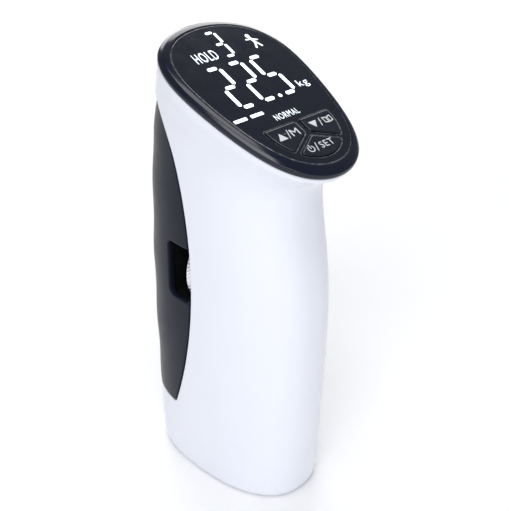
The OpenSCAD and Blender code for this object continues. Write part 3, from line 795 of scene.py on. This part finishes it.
class Finish:
    """A node material: a surface with fine colour, roughness and bump detail, and lighter edges: rubbed edges on
    most finishes, a painted highlight along the panel's bevels and the keys' rims.
    """

    def __init__(self, name, colour, rough, metallic=0.0):
        self.material = bpy.data.materials.new(name)
        self.material.use_nodes = True
        self.tree = self.material.node_tree
        self.shader = self.tree.nodes["Principled BSDF"]
        self.colour = colour
        self.rough = rough
        self.shader.inputs["Metallic"].default_value = metallic
        self.bump_out = None
        self.place = self.node("ShaderNodeTexCoord").outputs["Object"]

    def node(self, kind, **values):
        """A new node with some of its properties set."""
        made = self.tree.nodes.new(kind)
        for key, value in values.items():
            setattr(made, key, value)
        return made

    def link(self, a, b):
        self.tree.links.new(a, b)

    def noise(self, per_metre, detail, stretch=(1, 1, 1)):
        """A noise pattern in the object's own space."""
        mapping = self.node("ShaderNodeMapping")
        mapping.inputs["Scale"].default_value = stretch
        self.link(self.place, mapping.inputs["Vector"])
        noise = self.node("ShaderNodeTexNoise")
        noise.inputs["Scale"].default_value = per_metre
        noise.inputs["Detail"].default_value = detail
        noise.inputs["Roughness"].default_value = 0.55
        self.link(mapping.outputs["Vector"], noise.inputs["Vector"])
        return noise.outputs["Fac"]

    def ranged(self, value, low, high, source=(0.3, 0.7)):
        """A value stretched from the range `source` to low..high."""
        made = self.node("ShaderNodeMapRange")
        made.inputs["From Min"].default_value, made.inputs["From Max"].default_value = source
        made.inputs["To Min"].default_value, made.inputs["To Max"].default_value = low, high
        self.link(value, made.inputs["Value"])
        return made.outputs["Result"]

    def mixed(self, factor, first, second):
        """A mix of two colours, each a tuple or another node's output."""
        made = self.node("ShaderNodeMix", data_type="RGBA")
        self.link(factor, made.inputs["Factor"])
        for socket, value in ((made.inputs[6], first), (made.inputs[7], second)):
            if isinstance(value, tuple):
                socket.default_value = (*value, 1)
            else:
                self.link(value, socket)
        return made.outputs[2]

    def edges(self, low, high):
        """1 on sharp convex edges, 0 elsewhere."""
        return self.ranged(self.node("ShaderNodeNewGeometry").outputs["Pointiness"], 0, 1, (low, high))

    def bump(self, value, strength, distance):
        """Adds relief on top of the relief so far."""
        made = self.node("ShaderNodeBump")
        made.inputs["Strength"].default_value = strength
        made.inputs["Distance"].default_value = distance
        self.link(value, made.inputs["Height"])
        if self.bump_out is not None:
            self.link(self.bump_out, made.inputs["Normal"])
        self.bump_out = made.outputs["Normal"]

    def done(self, tint, patch, rough_spread, wear_and_highlight=0.0, wear_and_highlight_colour=None, sharp=WORN_EDGES):
        """Colour drifts by `tint`, roughness by `rough_spread`, and edges fade to the lighter edge colour: rubbed
        edges, and on the panel and keys a painted highlight.
        """
        c = np.array(self.colour)
        drift = self.ranged(self.noise(patch, 3), 0, 1)
        dark, light = tuple(c * (1 - tint)), tuple(np.minimum(1, c * (1 + tint)))
        colour = self.mixed(drift, dark, light)
        if wear_and_highlight:
            wear_and_highlight_mask = self.node("ShaderNodeMath", operation="MULTIPLY")
            self.link(self.edges(*sharp), wear_and_highlight_mask.inputs[0])
            self.link(self.ranged(self.noise(900, 5), 0, wear_and_highlight), wear_and_highlight_mask.inputs[1])
            colour = self.mixed(wear_and_highlight_mask.outputs[0], colour, wear_and_highlight_colour)
        self.link(colour, self.shader.inputs["Base Color"])
        low, high = self.rough - rough_spread, self.rough + rough_spread
        spread = self.ranged(self.noise(patch * 3, 6), low, high)
        self.link(spread, self.shader.inputs["Roughness"])
        if self.bump_out is not None:
            self.link(self.bump_out, self.shader.inputs["Normal"])
        return self.material


def plastic(
    name,
    colour,
    rough,
    grain=0.15,
    grain_scale=5000,
    coat=0.0,
    wear_and_highlight=0.0,
    wear_and_highlight_colour=(0.6, 0.6, 0.62),
    tint=0.05,
    rough_spread=0.04,
    waviness=0.0,
    gloss=0.5,
    sharp=WORN_EDGES,
):
    """Moulded plastic. grain is a fine texture, waviness the slow ripple of a glossy moulding."""
    f = Finish(name, colour, rough)
    f.shader.inputs["Coat Weight"].default_value = coat
    f.shader.inputs["Coat Roughness"].default_value = 0.06
    f.shader.inputs["Specular IOR Level"].default_value = gloss
    if waviness:
        f.bump(f.noise(70, 2), waviness, 0.0004)
    f.bump(f.noise(grain_scale, 3), grain, 0.00004)
    return f.done(tint, 60, rough_spread, wear_and_highlight, wear_and_highlight_colour, sharp)


def metal(name, colour, rough, stretch=(1, 1, 1), wear_and_highlight=0.0):
    """Bare metal, with lines drawn out along the axis that `stretch` makes small."""
    f = Finish(name, colour, rough, 1.0)
    f.bump(f.noise(3000, 5, stretch), 0.25, 0.00003)
    bright = tuple(np.minimum(1, np.array(colour) * 1.15))
    return f.done(0.08, 240, 0.07, wear_and_highlight, bright)


def glow(name, colour, strength):
    """A stroke that gives off light, a little uneven from its light source: the display's strokes lit behind a
    diffuser, and the printed key legends, where the faint glow is a painted glow.
    """
    f = Finish(name, colour, 0.35)
    f.bump(f.noise(4000, 2), 0.1, 0.00003)
    material = f.done(0.02, 300, 0.04)
    shade = f.ranged(f.noise(160, 2), strength * 0.94, strength * 1.06)
    f.shader.inputs["Emission Color"].default_value = (*colour, 1)
    f.link(shade, f.shader.inputs["Emission Strength"])
    return material


white_shell = plastic(
    "white_shell", (0.80, 0.82, 0.90), 0.24,
    grain=0.03, coat=0.25, waviness=0.008, tint=0.006, rough_spread=0.02,
)
grip_black = plastic(
    "grip_black", (0.010, 0.012, 0.024), 0.32,
    grain=0.14, grain_scale=4200, gloss=0.12, tint=0.12,
    wear_and_highlight=0.2, wear_and_highlight_colour=(0.05, 0.052, 0.062),
)
cap_black = plastic(
    "cap_black", (0.004, 0.006, 0.018), 0.16,
    grain=0.03, waviness=0.01, tint=0.08, gloss=0.45,
    wear_and_highlight=0.2, wear_and_highlight_colour=(0.05, 0.05, 0.06),
)
# the panel's light edge colour, spread over the whole bevel of its outline and of each key hole, is a painted
# highlight: the bright outline that light draws round the keys
panel_black = plastic(
    "panel_black", (0.004, 0.006, 0.015), 0.16,
    grain=0.03, tint=0.08,
    wear_and_highlight=1.0, wear_and_highlight_colour=(0.16, 0.16, 0.18), sharp=(0.502, 0.515),
)
# the keys' light grey rims are partly rubbed edges and partly a painted highlight, the light outline round each
# key
key_black = plastic(
    "key_black", (0.005, 0.007, 0.017), 0.25,
    grain=0.1, grain_scale=6500,
    wear_and_highlight=0.35, wear_and_highlight_colour=(0.13, 0.13, 0.15),
)
lit_white = glow("lit_white", (0.88, 0.95, 1.0), 1.5)
word_white = glow("word_white", (0.86, 0.92, 1.0), 0.85)
# the printed key legends are given a faint painted glow, so the grey print reads brighter than the lamps alone
# would make it
legend_grey_painted_glow = glow("legend_grey_painted_glow", (0.60, 0.61, 0.64), 0.16)
wheel_silver = metal("wheel_silver", (0.86, 0.87, 0.90), 0.27, wear_and_highlight=0.6)

# one node of each material slot that no new piece is made for
NODE_FINISHES = {
    "rear_frame": plastic("dark_frame", (0.025, 0.027, 0.032), 0.5, grain=0.4, grain_scale=3500),
    "base_plate": plastic("pale_base", (0.72, 0.74, 0.79), 0.5, grain=0.45, grain_scale=2600),
    "base_screws": metal("zinc_screw", (0.62, 0.63, 0.66), 0.34, (1, 1, 0.2)),
    "chassis": metal("sheet_metal", (0.66, 0.67, 0.70), 0.36, (0.1, 1, 1)),
    "load_cell_screws": metal("black_screw", (0.11, 0.11, 0.12), 0.4, (1, 0.2, 1)),
    "load_cell": metal("cell_alloy", (0.78, 0.79, 0.81), 0.28, (1, 1, 0.1)),
    "strain_gauges": plastic("gauge_foil", (0.66, 0.36, 0.06), 0.3),
    "thrust_washer": metal("bronze", (0.72, 0.50, 0.22), 0.3, (1, 0.1, 1)),
    "battery_pack": plastic("battery_wrap", (0.09, 0.24, 0.46), 0.25, grain=0.3, grain_scale=900),
    "charging_port": metal("port_steel", (0.70, 0.71, 0.74), 0.22, (0.1, 1, 1)),
    "main_board": plastic("board_green", (0.012, 0.10, 0.04), 0.35, grain=0.4, grain_scale=1800),
    "main_chips": plastic("chip_black", (0.012, 0.012, 0.014), 0.45, grain=0.5),
    "flat_cable": plastic("flex_amber", (0.62, 0.26, 0.04), 0.22),
    "light_block": plastic("light_white", (0.72, 0.73, 0.75), 0.55, grain=0.3),
    "key_switches": plastic("switch_dark", (0.03, 0.03, 0.034), 0.4),
    "key_mat": plastic("silicone_grey", (0.07, 0.073, 0.08), 0.62, grain=0.5),
    "cap_gasket": plastic("seal_black", (0.006, 0.006, 0.007), 0.7, grain=0.5),
    # the grip's core is dark plastic, made darker still so that it stands in for the deep shade inside the notch
    # round the wheel: partly its own colour, partly painted shade
    "grip_core": plastic("core_dark", (0.004, 0.0042, 0.005), 0.55, grain=0.4, grain_scale=3000, gloss=0.2),
    "spindle": metal("steel_bright", (0.72, 0.73, 0.75), 0.24, (1, 0.15, 1)),
}


def dress_cad_nodes():
    """Gives each CAD node that still shows the finish of its material slot."""
    slots = {row["node"]: row["material_slot"] for row in frame["record"]["subparts"]}
    by_slot = {slots[node]: material for node, material in NODE_FINISHES.items()}
    by_slot.update({
        "white_shell": white_shell,
        "lit_white": lit_white,
        "wheel_silver": wheel_silver,
        "grip_black": grip_black,
        "cap_black": cap_black,
        "panel_black": panel_black,
        "key_black": key_black,
    })
    for name, obj in frame["nodes"].items():
        obj.data.materials.clear()
        obj.data.materials.append(by_slot[slots[name]])


# ---------------------------------------------------------------- camera, floor and light
CAMERA_AT = (-179.959, -177.696, 217.472)
AZIMUTH = 46.6118
ELEVATION = 28.6981
ROLL = -0.4358


def place_camera():
    """The camera, left of the front and above, as far off as the picture's perspective says."""
    azimuth, elevation, roll = (math.radians(a) for a in (AZIMUTH, ELEVATION, ROLL))
    back = Vector((
        -math.sin(azimuth) * math.cos(elevation),
        -math.cos(azimuth) * math.cos(elevation),
        math.sin(elevation),
    ))
    right = Vector((math.cos(azimuth), -math.sin(azimuth), 0))
    up = back.cross(right)
    c, s = math.cos(roll), math.sin(roll)
    right, up = right * c - up * s, right * s + up * c
    camera = bpy.data.objects.new("camera", bpy.data.cameras.new("camera"))
    bpy.context.scene.collection.objects.link(camera)
    turn = Matrix((right, up, back)).transposed().to_4x4()
    camera.matrix_world = Matrix.Translation(Vector(CAMERA_AT) * MM) @ turn
    camera.data.lens = 63.4
    camera.data.sensor_width = 36
    camera.data.clip_start = 0.01
    camera.data.clip_end = 20
    bpy.context.scene.camera = camera


def softbox(name, at, aim, size, watts):
    """A white area light at a place in metres, turned towards another."""
    data = bpy.data.lights.new(name, "AREA")
    data.shape = "RECTANGLE"
    data.size, data.size_y = size
    data.energy = watts
    lamp = bpy.data.objects.new(name, data)
    bpy.context.scene.collection.objects.link(lamp)
    lamp.location = at
    lamp.rotation_euler = (Vector(aim) - Vector(at)).to_track_quat("-Z", "Y").to_euler()


def make_stage():
    """A wide pale floor, an even pale surround and four softboxes."""
    floor = plastic("floor_white", (0.93, 0.93, 0.94), 0.7, grain=0.1, grain_scale=800, tint=0.004)
    mesh = bpy.data.meshes.new("floor")
    reach = 4.0
    corners = [(-reach, -reach, 0), (reach, -reach, 0), (reach, reach, 0), (-reach, reach, 0)]
    mesh.from_pydata(corners, [], [(0, 1, 2, 3)])
    mesh.materials.append(floor)
    obj = bpy.data.objects.new("floor", mesh)
    bpy.context.scene.collection.objects.link(obj)
    world = bpy.data.worlds.new("world")
    bpy.context.scene.world = world
    world.use_nodes = True
    back = world.node_tree.nodes["Background"]
    back.inputs["Color"].default_value = (0.92, 0.95, 1.0, 1)
    back.inputs["Strength"].default_value = 0.27
    middle = (0, 0, 0.09)
    softbox("key_light", (-1.5, -0.9, 1.5), middle, (1.2, 1.2), 20)
    softbox("top_light", (-0.2, -0.1, 1.45), middle, (0.8, 0.8), 7.5)
    softbox("front_strip", (-0.58, -0.78, 0.4), (0, 0, 0.12), (0.5, 0.08), 2.2)
    softbox("back_light", (0.77, 0.87, 0.70), (0, 0, 0.14), (1.0, 0.85), 9.5)
    bpy.context.scene.view_settings.view_transform = "Standard"


# ---------------------------------------------------------------- putting it together
place_camera()
make_stage()
dress_cad_nodes()
make_housing(white_shell)
make_cover(grip_black)
make_cap(cap_black)
make_panel(panel_black)
make_wheel(wheel_silver)

KEYS = [
    ("key_up_cap", "key_up", "button_up"),
    ("key_down_cap", "key_down", "button_down"),
    ("key_power_cap", "key_power", "button_power"),
]
for number, (name, body, node) in enumerate(KEYS):
    make_key(number, name, body, node, key_black)


def lit(name, shapes, finish, replaces=()):
    """Lit shapes on the panel."""
    return ink(name, shapes, PANEL_H, "housing", finish, replaces)


large = []
for place, number in enumerate((2, 2, 5)):
    x = FIGURE_X + place * DIGIT_PITCH
    large += figure(number, x, FIGURE_V, DIGIT_W, DIGIT_H, DIGIT_STROKE)
large.append(disc(FIGURE_X + 1.5 * DIGIT_PITCH, FIGURE_V - DIGIT_H, DIGIT_STROKE / 2))
lit("lit_large_digits", large, lit_white, ["large_digits"])
lit("lit_user_digit", figure(3, 0.6, 21.6, 1.75, 5.2, 0.95), lit_white, ["user_digit"])

MARK_HALF = 2.4
MARK_LOW, MARK_HIGH = -6.9, -5.8
marks = []
for x in (-16.2, -9.8):
    low, high = x - MARK_HALF, x + MARK_HALF
    corners = [(low, MARK_LOW), (high, MARK_LOW), (high, MARK_HIGH), (low, MARK_HIGH)]
    marks.append(rounded(corners, 0.2, 3))
lit("lit_level_marks", marks, lit_white, ["level_marks"])

# a plain figure of a person, for the user setting: head, trunk, two arms and two legs
px, pv = 12.7, 19.4
person = [
    disc(px - 0.3, pv + 2.5, 0.8),
    capsule((px, pv + 1.3), (px + 0.3, pv - 0.5), 1.0),
    capsule((px - 2.0, pv + 1.2), (px + 0.1, pv + 1.0), 0.55),
    capsule((px, pv + 1.0), (px + 1.9, pv + 0.2), 0.55),
    capsule((px + 0.2, pv - 0.5), (px - 1.0, pv - 2.7), 0.65),
    capsule((px + 0.4, pv - 0.5), (px + 1.5, pv - 2.5), 0.65),
]
lit("lit_person", person, word_white)
lit_words = [
    ("HOLD", -7.8, 18.4, 4.0, 8.6, 0.004),
    ("kg", 14.6, -1.1, 3.5, 4.2, 0.0),
    ("NORMAL", -0.7, -9.4, 2.2, 9.6, -0.004),
]
words("lit_words", lit_words, PANEL_H, "housing", word_white)

# prints on the keys, a hair lower than their rims because the tops are dished; they carry a faint painted glow
KEY_H = PANEL_H + KEY_RISE - 0.01
SLASH_W = 0.28


def print_marks(name, shapes, body, holes=()):
    """Printed marks on a key, with a faint painted glow."""
    return ink(name, shapes, KEY_H, body, legend_grey_painted_glow, holes=holes)


def print_word(name, text, x, v, height, width, body):
    """A printed word on a key, with a faint painted glow."""
    return words(name, [(text, x, v, height, width, 0.0)], KEY_H, body, legend_grey_painted_glow)


up_mark = [
    block([(-11.2, -17.4), (-7.9, -17.4), (-9.55, -14.8)]),
    capsule((-7.2, -17.5), (-6.2, -14.6), SLASH_W),
]
print_marks("legend_up_mark", up_mark, "key_up")
print_word("legend_up_word", "M", -4.2, -16.1, 2.5, 3.0, "key_up")

# an open book: two pages, each with a gap inside its outline
BOOK_X, BOOK_V = 10.0, -16.0
page = [(0, 0.95), (1.6, 1.3), (1.6, -0.9), (0, -1.25)]
gap = [(0.3, 0.62), (1.3, 0.86), (1.3, -0.56), (0.3, -0.82)]


def book_part(side, shape):
    """A page or gap on the left (side -1) or right (side 1) of the book's fold."""
    return [(BOOK_X + side * (x + 0.1), v + BOOK_V) for x, v in shape]


down_mark = [
    block([(2.6, -14.8), (5.8, -14.8), (4.2, -17.2)]),
    capsule((6.4, -17.3), (7.3, -14.6), SLASH_W),
    book_part(-1, page),
    book_part(1, page),
]
gaps = ((2, book_part(-1, gap)), (3, book_part(1, gap)))
print_marks("legend_down_mark", down_mark, "key_down", gaps)

POWER_X, POWER_V = -4.3, -23.1
turn = np.radians(np.linspace(125, 415, 22))
sides = [(1.2, turn), (0.9, turn[::-1])]
power_ring = np.concatenate([
    np.stack([POWER_X + r * np.cos(a), POWER_V + r * np.sin(a)], 1) for r, a in sides
])
power_mark = [
    power_ring,
    capsule((POWER_X, -23.0), (POWER_X, -21.7), 0.3),
    capsule((-2.5, -24.4), (-1.5, -21.7), SLASH_W),
]
print_marks("legend_power_mark", power_mark, "key_power")
print_word("legend_power_word", "SET", 2.1, -23.1, 2.3, 5.4, "key_power")
